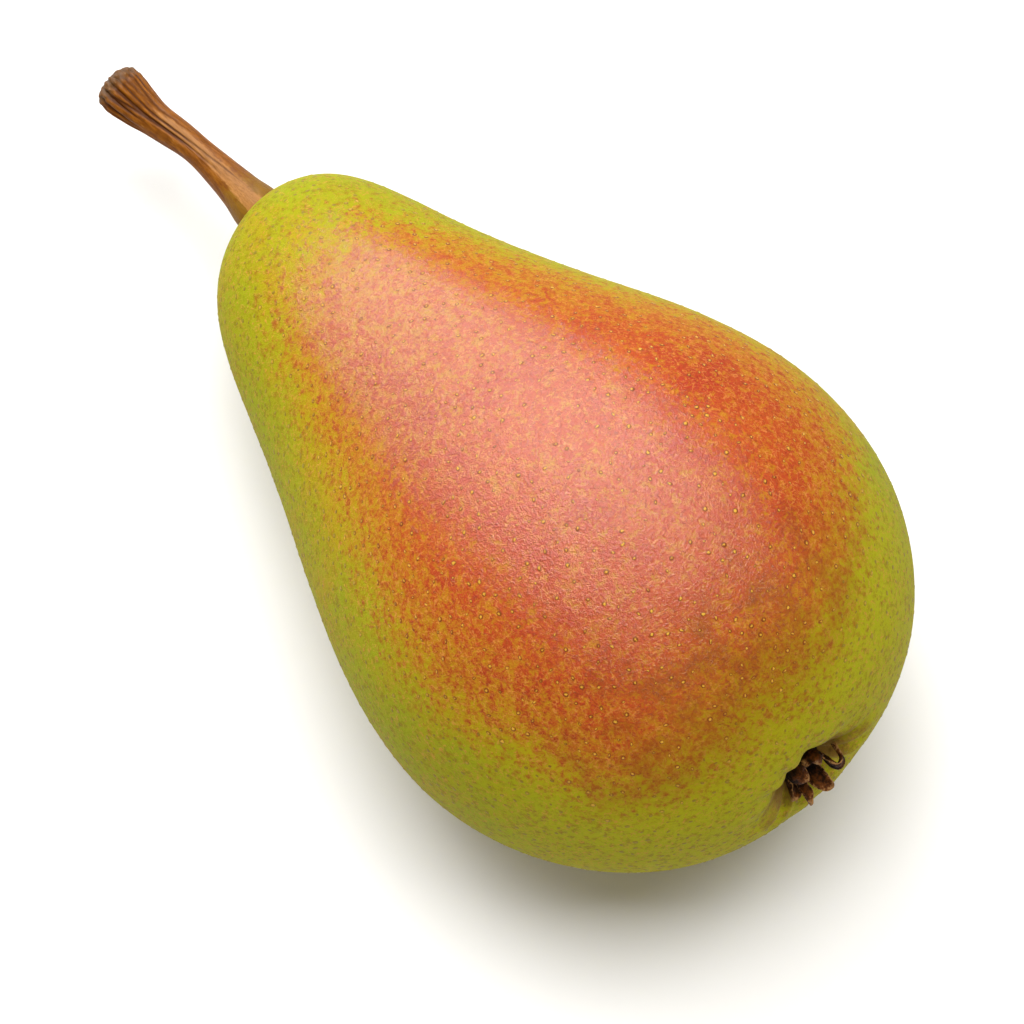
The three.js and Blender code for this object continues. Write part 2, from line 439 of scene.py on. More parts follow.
def square_to(along: np.ndarray, direction: np.ndarray) -> np.ndarray:
    """Turns one direction square to each of the tangents."""
    return unit(direction - along * (along @ direction)[:, None])


def listed(grid: np.ndarray) -> np.ndarray:
    """Lists a closed tube's values point by point, with its two end points."""
    return np.concatenate([grid[0, :1], grid.ravel(), grid[-1, :1]])


def closed_tube(rings: np.ndarray, start: np.ndarray, end: np.ndarray) -> tuple[np.ndarray, list[tuple]]:
    """Skins rings of points, with its two ends drawn to a point each.

    Args:
        rings: Points as ring, side and axis.
        start: The point before the first ring.
        end: The point past the last ring.

    Returns:
        The points and the faces.
    """
    count, sides = rings.shape[:2]
    points = np.concatenate([[start], rings.reshape(-1, 3), [end]])
    faces: list[tuple] = []
    last = 1 + (count - 1) * sides
    for side in range(sides):
        after = (side + 1) % sides
        faces.append((0, 1 + after, 1 + side))
        for ring in range(count - 1):
            row = 1 + ring * sides
            faces.append((row + side, row + after, row + sides + after, row + sides + side))
        faces.append((last + side, last + after, last + sides))
    return points, faces


def mesh_piece(name: str, parts: list[tuple[np.ndarray, list[tuple]]],
               values: dict[Attribute, np.ndarray], material: Material) -> Object:
    """Makes one object from closed shells, with smooth faces that point out.

    Args:
        name: The piece's name.
        parts: Points and faces of each shell.
        values: A number for each point, over all shells in order.
        material: The finish.

    Returns:
        The object.
    """
    points = np.concatenate([part[0] for part in parts])
    faces: list[tuple] = []
    offset = 0
    for part_points, part_faces in parts:
        faces.extend(tuple(index + offset for index in face) for face in part_faces)
        offset += len(part_points)
    mesh = bpy.data.meshes.new(name)
    mesh.from_pydata(points.tolist(), [], faces)
    for attribute, numbers in values.items():
        layer = mesh.attributes.new(attribute.value, "FLOAT", "POINT")
        layer.data.foreach_set("value", numbers.astype(np.float32))
    shell = bmesh.new()
    shell.from_mesh(mesh)
    bmesh.ops.recalc_face_normals(shell, faces=shell.faces)
    shell.to_mesh(mesh)
    shell.free()
    mesh.shade_smooth()
    mesh.materials.append(material)
    piece = bpy.data.objects.new(name, mesh)
    bpy.context.scene.collection.objects.link(piece)
    return piece


@dataclass(frozen=True)
class SkinFinish:
    """Waxy skin: a green-yellow ground, a red blush that gathers out of flecks, russet round the basin
    that is partly painted shade, and a tan towards the calyx end that is partly painted shade.
    """

    green: tuple = srgb(155, 160, 18)
    yellow: tuple = srgb(172, 150, 18)
    olive: tuple = srgb(170, 168, 18)
    dark: tuple = srgb(134, 116, 13)
    orange: tuple = srgb(179, 119, 28)
    red: tuple = srgb(183, 75, 35)
    crimson: tuple = srgb(170, 55, 34)
    wisp: tuple = srgb(214, 142, 70)
    shade: tuple = srgb(136, 60, 18)
    speck: tuple = srgb(150, 84, 24)
    # Russet brown, which also serves as painted shade in the basin.
    russet_and_basin_shade: tuple = srgb(128, 88, 40)
    # Dark tan near the calyx end: partly the skin's own brown, partly painted shade.
    tan: tuple = srgb(136, 92, 16)
    dim: tuple = srgb(186, 176, 160)
    grain_per_mm: float = 2.6
    mottle_per_mm: float = 1.0
    cells_per_mm: float = 0.9
    patch_per_mm: float = 0.25
    broad_per_mm: float = 0.06
    wisp_per_mm: float = 1.4
    shade_per_mm: float = 1.3
    grain_depth: float = 0.15 * MM

    def material(self) -> Material:
        """Builds the skin's material."""
        material, tree, shader = new_material(
            "waxy_skin", Roughness=0.6, IOR=1.1, Coat_Roughness=0.27, Coat_IOR=1.5,
            Subsurface_Weight=0.06, Subsurface_Radius=(1.0, 0.45, 0.15), Subsurface_Scale=0.0012)
        place = place_in_mm(tree)
        fine = noise(place, self.grain_per_mm, 3.0, 0.9) - 0.5
        mottle = noise(place, self.mottle_per_mm, 3.0, 0.75, 0.8) - 0.5
        wisps = self.strokes(place, self.wisp_per_mm, 0.5)
        feed(shader.inputs["Base Color"], self.colour(tree, place, fine, mottle, wisps))
        normal = bumped(fine + wisps * 0.15 + mottle, self.grain_depth)
        feed(shader.inputs["Normal"], normal)
        feed(shader.inputs["Coat Normal"], normal)
        gloss = carried(tree, Attribute.GLOSS)
        feed(shader.inputs["Coat Weight"], (gloss + fine * 2.0 + mottle * 1.2).step(0.1, 1.0))
        return material

    def strokes(self, place: NodeSocket, per_mm: float, level: float) -> Wire:
        """Returns short curved strokes, 1 in their middle, along one level of a noise."""
        line = (noise(place, per_mm, 0.0, 0.5, 1.2) - level).hill(0.05)
        return line * noise(place, per_mm, 1.0).step(0.42, 0.58)

    def colour(self, tree: NodeTree, place: NodeSocket, fine: Wire, mottle: Wire,
               wisps: Wire) -> NodeSocket:
        """Works out the skin's colour.

        Args:
            tree: The tree to build it in.
            place: The place on the skin, in millimetres.
            fine: A fine grain about nought.
            mottle: A grain of about a millimetre, about nought.
            wisps: The pale strokes.

        Returns:
            The colour.
        """
        blush = carried(tree, Attribute.BLUSH)
        along = carried(tree, Attribute.ALONG)
        broad = noise(place, self.broad_per_mm, 2.0) - 0.5
        patch = noise(place, self.patch_per_mm, 3.0, 0.6) - 0.5
        gap = cells(place, self.cells_per_mm)
        spot = 0.55 - gap
        near_calyx = along + patch * 0.3

        yellowing = (broad * 1.5 + patch * 1.5 + blush + 0.25).step(0.0, 1.0)
        ground = blended(yellowing, self.green, self.yellow)
        ground = blended(near_calyx.step(0.7, 0.95), ground, self.olive)
        ground = blended((spot * 0.9 + mottle + fine).step(0.0, 0.5, 0.0, 0.65), ground, self.dark)

        flecks = spot * 0.7 + mottle * 2.2 + patch * 0.6 + fine * 2.4
        warm = blended((blush * 1.8 + flecks * 0.8).step(0.35, 1.25), ground, self.orange)
        red = blended((mottle * -1.0 + patch + broad + 0.4).step(0.2, 0.8), self.red, self.crimson)
        skin = blended((blush * 1.3 + flecks).step(0.65, 1.5), warm, red)

        specks = (gap + fine * 0.6).step(0.12, 0.3, 1.0, 0.0) * blush.step(0.03, 0.3)
        skin = blended(specks * blush.step(0.5, 1.0, 0.42, 0.25), skin, self.speck)
        skin = blended(wisps * 0.6, skin, self.wisp)
        skin = blended(self.strokes(place, self.shade_per_mm, 0.42) * blush * 0.5, skin, self.shade)
        # Darker towards the calyx end on the blush: partly a brown tone, partly painted shade where the
        # end turns from the light.
        tan_and_shade_share = near_calyx.step(0.8, 0.94) * blush.step(0.05, 0.5) * 0.5
        skin = blended(tan_and_shade_share, skin, self.tan)
        dimming = (fine * 1.2 + mottle * 0.8).step(-0.05, 0.35, 0.0, 0.6)
        skin = blended(dimming, skin, self.dim, "MULTIPLY")
        # Brown round the basin: partly corky russet, partly painted shade in the hollow.
        russet_and_shade_share = carried(tree, Attribute.BASIN) + patch * 0.9 + mottle * 0.6 + fine * 0.3
        return blended(russet_and_shade_share.step(0.22, 0.8, 0.0, 0.85), skin, self.russet_and_basin_shade)


@dataclass(frozen=True)
class LenticelFinish:
    """Corky pores: a golden middle on the blush, an olive-brown one on the ground, and a dark ring that is
    partly painted shade.
    """

    gold: tuple = srgb(208, 160, 54)
    olive: tuple = srgb(132, 108, 18)
    # Dark rings round the pores: partly their own colour, partly painted shade.
    shaded_ring_on_blush: tuple = srgb(122, 58, 16)
    shaded_ring_on_ground: tuple = srgb(134, 118, 14)
    grain_per_mm: float = 2.2

    def material(self) -> Material:
        """Builds the pores' material."""
        material, tree, shader = new_material("corky_pore", Roughness=0.5, IOR=1.25)
        rim = carried(tree, Attribute.RIM)
        blush = carried(tree, Attribute.BLUSH)
        chance = carried(tree, Attribute.CHANCE)
        middle = blended((blush + chance * 0.8).step(0.5, 1.1), self.olive, self.gold)
        # The darker ring round each pore is partly painted shade.
        ring = blended(blush.step(0.1, 0.6), self.shaded_ring_on_ground, self.shaded_ring_on_blush)
        uneven = noise(place_in_mm(tree), self.grain_per_mm, 2.0, 0.8) - 0.5
        feed(shader.inputs["Base Color"], blended((rim + uneven * 1.4).step(0.15, 0.5), middle, ring))
        return material


@dataclass(frozen=True)
class StemFinish:
    """Woody stem: orange-brown, with a paler worn face, painted shade in its grooves and painted
    highlights on the crests between them.
    """

    wood: tuple = srgb(148, 87, 12)
    wood_deep: tuple = srgb(108, 58, 4)
    face: tuple = srgb(184, 127, 66)
    # Painted shade for the grooves.
    groove: tuple = srgb(80, 40, 6)
    # Painted highlight on the ridge crests.
    crest_highlight: tuple = srgb(186, 138, 80)
    moss: tuple = srgb(122, 90, 12)
    scar: tuple = srgb(98, 70, 42)
    streak_per_mm: float = 1.8
    streak_squeeze: float = 0.16
    fibre_per_mm: float = 5.0
    fibre_squeeze: float = 0.12
    spot_per_mm: float = 1.2
    grain_depth: float = 0.12 * MM

    def material(self) -> Material:
        """Builds the stem's material."""
        material, tree, shader = new_material("stem_wood", IOR=1.22)
        place = place_in_mm(tree)
        along = carried(tree, Attribute.ALONG)
        groove = carried(tree, Attribute.GROOVE)
        long = stretch(place, (self.streak_squeeze, 1.0, 1.0))
        streak = noise(long, self.streak_per_mm, 4.0, 0.65) - 0.5
        longest = stretch(place, (self.fibre_squeeze, 1.0, 1.0))
        fibre = noise(longest, self.fibre_per_mm, 2.0, 0.6) - 0.5
        spot = noise(place, self.spot_per_mm, 3.0, 0.6) - 0.5

        wood = blended((streak * 1.6 + spot * 0.6 + 0.5).step(0.15, 0.85), self.wood_deep, self.wood)
        mossy = (along * -1.0 + spot * 0.3 + streak * 0.4).step(-0.35, -0.15, 0.0, 0.7)
        wood = blended(mossy, wood, self.moss)
        worn = carried(tree, Attribute.FACE) + streak + fibre * 0.9 + spot * 0.5
        wood = blended(worn.step(0.35, 0.95, 0.0, 0.85), wood, self.face)
        # Painted highlights along the ridge crests between the grooves.
        crest_highlight = (groove * -1.2 + streak * 2.0 + fibre * 1.2).step(0.2, 0.7)
        wood = blended(crest_highlight * along.step(0.35, 0.6, 0.2, 0.6), wood, self.crest_highlight)
        # Painted shade in the grooves, darkest where they are cut deepest.
        wood = blended((groove + fibre * 0.4).step(0.15, 0.8), wood, self.groove)
        scarred = (along + spot * 0.05 + streak * 0.03).step(0.91, 0.97, 0.0, 0.8)
        feed(shader.inputs["Base Color"], blended(scarred, wood, self.scar))
        feed(shader.inputs["Normal"], bumped(streak * 0.6 + fibre * 0.7 + spot * 0.3, self.grain_depth))
        feed(shader.inputs["Roughness"], spot * 0.4 + 0.5)
        return material


@dataclass(frozen=True)
class CalyxFinish:
    """Dried calyx: dark brown and leathery, with pale worn edges."""

    dark: tuple = srgb(22, 9, 2)
    brown: tuple = srgb(90, 47, 12)
    edge: tuple = srgb(160, 118, 72)
    blotch_per_mm: float = 1.1
    grain_per_mm: float = 4.0
    grain_depth: float = 0.3 * MM

    def material(self) -> Material:
        """Builds the calyx's material."""
        material, tree, shader = new_material("dried_calyx", Roughness=0.55, IOR=1.25)
        place = place_in_mm(tree)
        edge = carried(tree, Attribute.EDGE)
        along = carried(tree, Attribute.ALONG)
        blotch = noise(place, self.blotch_per_mm, 3.0, 0.6) - 0.5
        fine = noise(place, self.grain_per_mm, 2.0, 0.6) - 0.5
        brown = blended((along + blotch * 2.2 + fine * 1.2).step(0.2, 1.1), self.dark, self.brown)
        brown = blended((edge + blotch * 1.6 + fine * 1.2).step(0.55, 0.95, 0.0, 0.85), brown, self.edge)
        feed(shader.inputs["Base Color"], brown)
        feed(shader.inputs["Normal"], bumped(blotch * 0.7 + fine * 0.6, self.grain_depth))
        return material


@dataclass
class Fruit:
    """The fruit's body, whose surface follows a rule."""

    pose: Pose
    length: float = 101 * MM
    girth_terms: tuple[float, ...] = (31.7 * MM, -10.6 * MM, 3.0 * MM, 2.0 * MM, 0.9 * MM, -0.35 * MM)
    bow_sideways: float = -1.1 * MM
    bow_down: float = -1.2 * MM
    neck_lean: float = -0.2 * MM
    crown_slant: float = 0.06
    crown_reach: float = 9 * MM
    crown_flat: float = 0.5 * MM
    crown_flat_reach: float = 6 * MM
    lobe_count: int = 5
    lobe_height: float = 0.25 * MM
    lobe_turn: float = 0.5
    basin_depth: float = 4.6 * MM
    basin_radius: float = 4.4 * MM
    basin_side_shift: float = -0.8 * MM
    basin_stretch: float = 0.08
    basin_opening: float = 0.34
    basin_fold: float = 0.07
    furrow_count: int = 11
    furrow_height: float = 0.4 * MM
    furrow_ring: float = 6.5 * MM
    furrow_belt: float = 3.2 * MM
    russet_and_shade_reach: float = 6.2 * MM
    undulation: float = 0.22 * MM
    undulations_per_mm: float = 0.07
    dimple: float = 0.06 * MM
    dimples_per_mm: float = 0.3
    spot_softness: float = 0.3 * MM
    blush_middle: float = math.radians(86)
    blush_half_width: float = math.radians(42)
    blush_swell: float = math.radians(12)
    blush_fade: float = math.radians(28)
    blush_turn: float = math.radians(14)
    gloss_middle: float = math.radians(92)
    gloss_half_width: float = math.radians(25)
    rings: int = 240
    sides: int = 300
    pole_fineness: float = 0.4

    def build(self, material: Material) -> Object:
        """Builds the skin as one closed surface and keeps what its finish reads.

        Args:
            material: The skin's finish.

        Returns:
            The fruit.
        """
        recipe = Recipe("fruit_by_rule")
        ports = {"Segments": recipe.size(self, "sides", "NodeSocketInt"),
                 "Rings": recipe.size(self, "rings", "NodeSocketInt"), "Radius": 1.0}
        ball = recipe.node("GeometryNodeMeshUVSphere", ports)
        ball_x, ball_y, ball_z = recipe.place()
        polar = (ball_x.squared() + ball_y.squared()).math("SQRT").math("ARCTAN2", ball_z)
        psi = polar - (polar * 2.0).sine() * recipe.given("Pole fineness", self.pole_fineness / 2)
        phi = (ball_y * -1.0).math("ARCTAN2", ball_x)
        point, out, angle = self.skin_point(recipe, psi, phi)
        along = (1.0 - psi.cosine()) * 0.5
        geometry = recipe.store(ball.outputs[0], Attribute.ALONG, along)
        geometry = recipe.store(geometry, Attribute.BLUSH, self.blush(recipe, along, phi))
        geometry = recipe.store(geometry, Attribute.GLOSS, self.gloss(recipe, along, phi))
        geometry = recipe.store(geometry, Attribute.BASIN, self.russet_and_basin_shade(recipe, out, angle, along))
        placed = recipe.node("GeometryNodeSetPosition", {"Geometry": geometry, "Position": point})
        return recipe.make("pear_skin", placed.outputs[0], material)

    def skin_point(self, recipe: Recipe, psi: Wire, phi: Wire) -> tuple[NodeSocket, Wire, Wire]:
        """Works out a point of the skin.

        Args:
            recipe: The tree that works it out.
            psi: The angle from the stem pole, 0, to the calyx pole, pi.
            phi: The angle round the axis, from the side.

        Returns:
            The point in the row frame, and its distance from and angle round the basin's middle.
        """
        names = ("Mean radius", "Taper", "Waist", "Neck", "Shoulder", "Crown")
        girth = recipe.given(names[0], self.girth_terms[0])
        for order in range(1, len(names)):
            term = recipe.given(names[order], self.girth_terms[order])
            girth = girth + term * (psi * float(order)).cosine()
        along = (1.0 - psi.cosine()) * 0.5
        lobe = (phi * self.lobe_count + self.lobe_turn).cosine() * along.squared()
        radius = (girth + lobe * recipe.size(self, "lobe_height")) * psi.sine()
        x = recipe.size(self, "length") * along
        y = radius * phi.cosine()
        z = radius * phi.sine()

        side = y - recipe.size(self, "basin_side_shift")
        out = (side.squared() + z.squared()).math("SQRT")
        angle = z.math("ARCTAN2", side)
        stretched = (angle * 2.0).cosine() * self.basin_stretch
        folded = (angle * self.lobe_count).cosine() * self.basin_fold
        opened = angle.sine().math("MAXIMUM", 0.0) * recipe.size(self, "basin_opening")
        basin_radius = (stretched + folded + opened + 1.0) * recipe.size(self, "basin_radius")
        near_calyx = along.math("GREATER_THAN", 0.5)
        dip = out.hill(basin_radius) * recipe.size(self, "basin_depth") * near_calyx
        slant = y * recipe.size(self, "crown_slant") * x.hill(recipe.size(self, "crown_reach"))
        flat = x.hill(recipe.size(self, "crown_flat_reach")) * recipe.size(self, "crown_flat")

        bow = (along * math.pi).sine()
        lean = (along * (2 * math.pi)).sine()
        x = x - dip + (flat - slant) * (1.0 - near_calyx)
        y = y + bow * recipe.size(self, "bow_sideways") + lean * recipe.size(self, "neck_lean")
        z = z + bow * recipe.size(self, "bow_down")
        belt = (out - self.furrow_ring).hill(self.furrow_belt) * near_calyx
        raised = self.relief(recipe, point_of(recipe.tree, x, y, z), angle, belt)
        x = x - psi.cosine() * raised
        y = y + psi.sine() * phi.cosine() * raised
        z = z + psi.sine() * phi.sine() * raised

        tilt = recipe.given("Rest tilt", self.pose.tilt)
        pole_x, pole_y, pole_z = (recipe.given("Stem pole " + axis, value)
                                  for axis, value in zip("XYZ", self.pose.stem_pole))
        laid_x = pole_x + x * tilt.cosine() - z * tilt.sine()
        laid_z = pole_z + x * tilt.sine() + z * tilt.cosine()
        laid_z = laid_z.math("SMOOTH_MAX", 0.0, recipe.size(self, "spot_softness"))
        return point_of(recipe.tree, laid_x, pole_y + y, laid_z), out, angle

    def rays(self, angle: Wire) -> Wire:
        """Returns a row of uneven waves round the basin, between -1 and 1."""
        return (angle * self.furrow_count + (angle * 3.0).sine() * 1.3).cosine()

    def relief(self, recipe: Recipe, point: NodeSocket, angle: Wire, belt: Wire) -> Wire:
        """Works out how far the skin is raised: broad waves, small dimples and furrows at the basin.

        Args:
            recipe: The tree that works it out.
            point: The point of the skin, in the fruit's own frame.
            angle: The angle round the basin's middle.
            belt: How strong the furrows are.

        Returns:
            The height, in metres.
        """
        place = stretch(point, (1 / MM, 1 / MM, 1 / MM))
        waves = (noise(place, self.undulations_per_mm, 1.0) - 0.5) * recipe.size(self, "undulation")
        dimples = (noise(place, self.dimples_per_mm, 2.0) - 0.5) * recipe.size(self, "dimple")
        folds = self.rays(angle) * 0.6 + (angle * self.lobe_count + 0.8).cosine() * 0.4
        return waves + dimples + folds * belt * recipe.size(self, "furrow_height")

    def blush(self, recipe: Recipe, along: Wire, phi: Wire) -> Wire:
        """Works out how strong the blush is.

        Args:
            recipe: The tree that works it out.
            along: The place from the stem pole, 0, to the calyx pole, 1.
            phi: The angle round the axis, from the side.

        Returns:
            The strength, from 0 on the ground to about 1 in the blush's middle.
        """
        turn = along.step(0.75, 0.95) * recipe.size(self, "blush_turn")
        swell = (along - 0.68).hill(0.2) * recipe.size(self, "blush_swell")
        edge = recipe.size(self, "blush_half_width") + swell
        fade = recipe.size(self, "blush_fade")
        away = self.away(phi, recipe.size(self, "blush_middle") + turn)
        across = away.step(edge - fade, edge + fade, 1.0, 0.0)
        across = across * along.step(0.03, 0.31, 0.0, 0.84) * along.step(0.3, 0.6, 1.0, 1.25)
        return across * along.step(0.85, 1.0, 1.0, 0.1)

    def gloss(self, recipe: Recipe, along: Wire, phi: Wire) -> Wire:
        """Works out how polished the skin's wax is.

        Args:
            recipe: The tree that works it out.
            along: The place from the stem pole, 0, to the calyx pole, 1.
            phi: The angle round the axis, from the side.

        Returns:
            The polish, from 0 on the ground to 1 along the blush.
        """
        half_width = recipe.size(self, "gloss_half_width")
        away = self.away(phi, recipe.size(self, "gloss_middle"))
        across = away.step(half_width * 0.5, half_width * 1.5, 1.0, 0.0)
        return across * along.step(0.06, 0.3) * along.step(0.8, 0.95, 1.0, 0.0)

    def away(self, phi: Wire, middle: Wire) -> Wire:
        """Returns how far an angle is from a middle one, the short way round."""
        return (phi - middle).math("WRAP", math.pi, -math.pi).math("ABSOLUTE")

    def russet_and_basin_shade(self, recipe: Recipe, out: Wire, angle: Wire, along: Wire) -> Wire:
        """Works out how brown the skin is round the basin: partly corky russet, partly painted shade in
        the hollow and its furrows.

        Args:
            recipe: The tree that works it out.
            out: The distance from the basin's middle.
            angle: The angle round the basin's middle.
            along: The place from the stem pole, 0, to the calyx pole, 1.

        Returns:
            The strength, from 0 to 1.
        """
        uneven = (angle * 2.0 - 0.2).cosine() * 0.45 + self.rays(angle) * 0.15 + 0.9
        return out.hill(uneven * recipe.size(self, "russet_and_shade_reach")) * along.math("GREATER_THAN", 0.5)


@dataclass
class Lenticels:
    """The pores of the skin, scattered over the fruit."""

    spacing: float = 1.3 * MM
    most_per_mm2: float = 1.2
    share_on_blush: float = 0.6
    share_on_ground: float = 0.65
    radius: float = 0.45 * MM
    height: float = 0.045 * MM
    floor_clearance: float = 0.6 * MM
    smallest: float = 0.65
    size_spread: float = 0.5
    narrowness: float = 0.75
    narrowness_spread: float = 0.2
    seed: int = 11

    def build(self, fruit: Object, material: Material) -> Object:
        """Scatters small low domes over the fruit.

        Args:
            fruit: The finished fruit.
            material: The pores' finish.

        Returns:
            All pores in one mesh.
        """
        recipe = Recipe("pores_on_skin")
        skin = recipe.tree.nodes.new("NodeGroupInput").outputs["Geometry"]
        seed = recipe.size(self, "seed", "NodeSocketInt")
        blush = recipe.node("GeometryNodeInputNamedAttribute", {"Name": Attribute.BLUSH.value},
                            data_type="FLOAT")
        share = Wire(blush.outputs[0]).step(0.0, 0.6, self.share_on_ground, self.share_on_blush)
        share = share * recipe.place()[2].math("GREATER_THAN", recipe.size(self, "floor_clearance"))
        ports = {"Mesh": skin, "Distance Min": recipe.size(self, "spacing"),
                 "Density Max": recipe.given("Most per square metre", self.most_per_mm2 / MM ** 2),
                 "Density Factor": share, "Seed": seed}
        points = recipe.node("GeometryNodeDistributePointsOnFaces", ports, distribute_method="POISSON")
        draw = recipe.node("FunctionNodeRandomValue", {"Seed": seed}, data_type="FLOAT")
        chance = Wire(shown(draw.outputs, "Value"))
        marked = recipe.store(points.outputs["Points"], Attribute.CHANCE, chance)
        dome = self.dome(recipe, recipe.size(self, "radius"), recipe.size(self, "height"))
        size = chance * self.size_spread + self.smallest
        narrow = (chance * 37.0).sine() * self.narrowness_spread + self.narrowness
        turn = point_of(recipe.tree, 0.0, 0.0, chance * 60.0)
        spun = recipe.node("FunctionNodeRotateRotation",
                           {"Rotation": points.outputs["Rotation"], "Rotate By": turn},
                           rotation_space="LOCAL")
        ports = {"Points": marked, "Instance": dome, "Rotation": spun.outputs[0],
                 "Scale": point_of(recipe.tree, size, size * narrow, size)}
        pores = recipe.node("GeometryNodeInstanceOnPoints", ports)
        return recipe.make("lenticels", pores.outputs[0], material, fruit.data)

    def dome(self, recipe: Recipe, radius: Wire, height: Wire) -> NodeSocket:
        """Makes one low closed dome that knows how far its points are from its middle.

        Args:
            recipe: The tree that makes it.
            radius: The dome's radius.
            height: How far it stands out of the skin.

        Returns:
            The dome.
        """
        ports = {"Vertices": 8, "Side Segments": 2, "Radius Top": radius * 0.35, "Radius Bottom": radius,
                 "Depth": height * 2.0}
        cone = recipe.node("GeometryNodeMeshCone", ports, fill_type="TRIANGLE_FAN")
        x, y, _ = recipe.place()
        rim = (x.squared() + y.squared()).math("SQRT") / radius
        marked = recipe.store(cone.outputs["Mesh"], Attribute.RIM, rim)
        sunk = point_of(recipe.tree, 0.0, 0.0, height * -1.0)
        return recipe.node("GeometryNodeTransform", {"Geometry": marked, "Translation": sunk}).outputs[0]


@dataclass
class Stem:
    """The woody stem, from its root in the fruit to the club at its tip, in millimetres."""

    pose: Pose
    centre_line: tuple = ((3.4, 0.6, 0.0), (0.0, 0.6, 0.0), (-6.0, 0.6, 0.3), (-13.0, 0.2, 0.9),
                          (-19.7, -1.0, 1.8), (-25.7, -1.5, 2.9))
    outline: tuple = ((0.0, 2.4), (3.4, 3.2), (7.3, 2.6), (11.5, 2.15), (15.5, 1.9), (19.3, 2.1),
                      (22.5, 2.3), (25.6, 2.85), (28.3, 3.2), (29.5, 2.95), (30.1, 2.2))
    end_dome: float = 0.5
    rings: int = 260
    sides: int = 144
    groove_count: int = 21
    groove_depths: tuple[float, float] = (0.14, 0.38)
    groove_half_widths: tuple[float, float] = (0.05, 0.11)
    full_groove: float = 0.3
    face_angle: float = 1.75
    face_half_width: float = 0.42
    face_depth: float = 0.12
    knob_count: int = 13
    knob_height: float = 0.13
    seed: int = 5

    def build(self, material: Material) -> Object:
        """Builds the stem with its grooves, its worn face and its crinkled end.

        Args:
            material: The stem's finish.

        Returns:
            The stem.
        """
        line = np.array(self.centre_line)
        outline = np.array(self.outline)
        even = np.linspace(0, 1, self.rings)
        drawn = smooth_line(outline, even)
        shares = drawn[:, 0] / outline[-1, 0]
        centres = smooth_line(line, shares)
        slopes = np.gradient(smooth_line(line, even), axis=0)
        along = unit(np.stack([np.interp(shares, even, slopes[:, axis]) for axis in range(3)], -1))
        across = square_to(along, np.array([0.0, 1.0, 0.0]))
        up = np.cross(across, along)
        angles = np.linspace(0, 2 * math.pi, self.sides, endpoint=False)
        groove, face = self.carving(shares, angles)
        radius = drawn[:, 1][:, None] - groove
        spokes = (across[:, None] * np.cos(angles)[None, :, None]
                  + up[:, None] * np.sin(angles)[None, :, None])
        tip = centres[-1] + along[-1] * self.end_dome
        points, faces = closed_tube(centres[:, None] + radius[..., None] * spokes, centres[0], tip)
        values = {Attribute.ALONG: listed(np.repeat(shares[:, None], self.sides, 1)),
                  Attribute.GROOVE: listed(groove / self.full_groove), Attribute.FACE: listed(face)}
        return mesh_piece("stem_wood", [(self.pose.lay_down(points * MM), faces)], values, material)

    def carving(self, shares: np.ndarray, angles: np.ndarray) -> tuple[np.ndarray, np.ndarray]:
        """Works out the grooves and the worn face.

        Args:
            shares: Where each ring is, from 0 at the root to 1 at the tip.
            angles: Where each side is.

        Returns:
            How deep each point is cut, in millimetres, and how worn it is, from 0 to 1.
        """
        draw = np.random.default_rng(self.seed)
        place, turn = np.meshgrid(shares, angles, indexing="ij")
        depth = np.zeros_like(place)
        club = np.clip((place - 0.5) / 0.35, 0, 1)
        for index in range(self.groove_count):
            middle = 2 * math.pi * (index + draw.uniform(-0.3, 0.3)) / self.groove_count
            start = draw.uniform(0.1, 0.75)
            wander = 0.1 * np.sin(place * draw.uniform(6, 12) + draw.uniform(0, 6))
            away = np.angle(np.exp(1j * (turn - middle - wander - 0.25 * (place - 0.5))))
            width = draw.uniform(*self.groove_half_widths)
            strength = np.clip((place - start) / 0.2, 0, 1) * (0.35 + 0.9 * club)
            depth += strength * draw.uniform(*self.groove_depths) * np.exp(-(away / width) ** 2)
        away = np.angle(np.exp(1j * (turn - self.face_angle + 0.3 * place)))
        face = np.exp(-(away / self.face_half_width) ** 4) * np.clip((0.85 - place) / 0.2, 0, 1)
        depth += self.face_depth * face
        knobs = np.sin(self.knob_count * turn + 2 * np.sin(3 * turn)) * np.sin(150 * place)
        depth += self.knob_height * knobs * np.clip((place - 0.9) / 0.05, 0, 1)
        return depth, face


@dataclass(frozen=True)
class Sepal:
    """One dried sepal: where it springs from, its width, and its midrib.

    The midrib's points are height above the cup's rim, distance out from the calyx's axis, and
    turn round it, in millimetres and degrees.
    """

    angle: float
    width: float
    rib: tuple
    twist: float = 0.0
    curl: float = 0.45


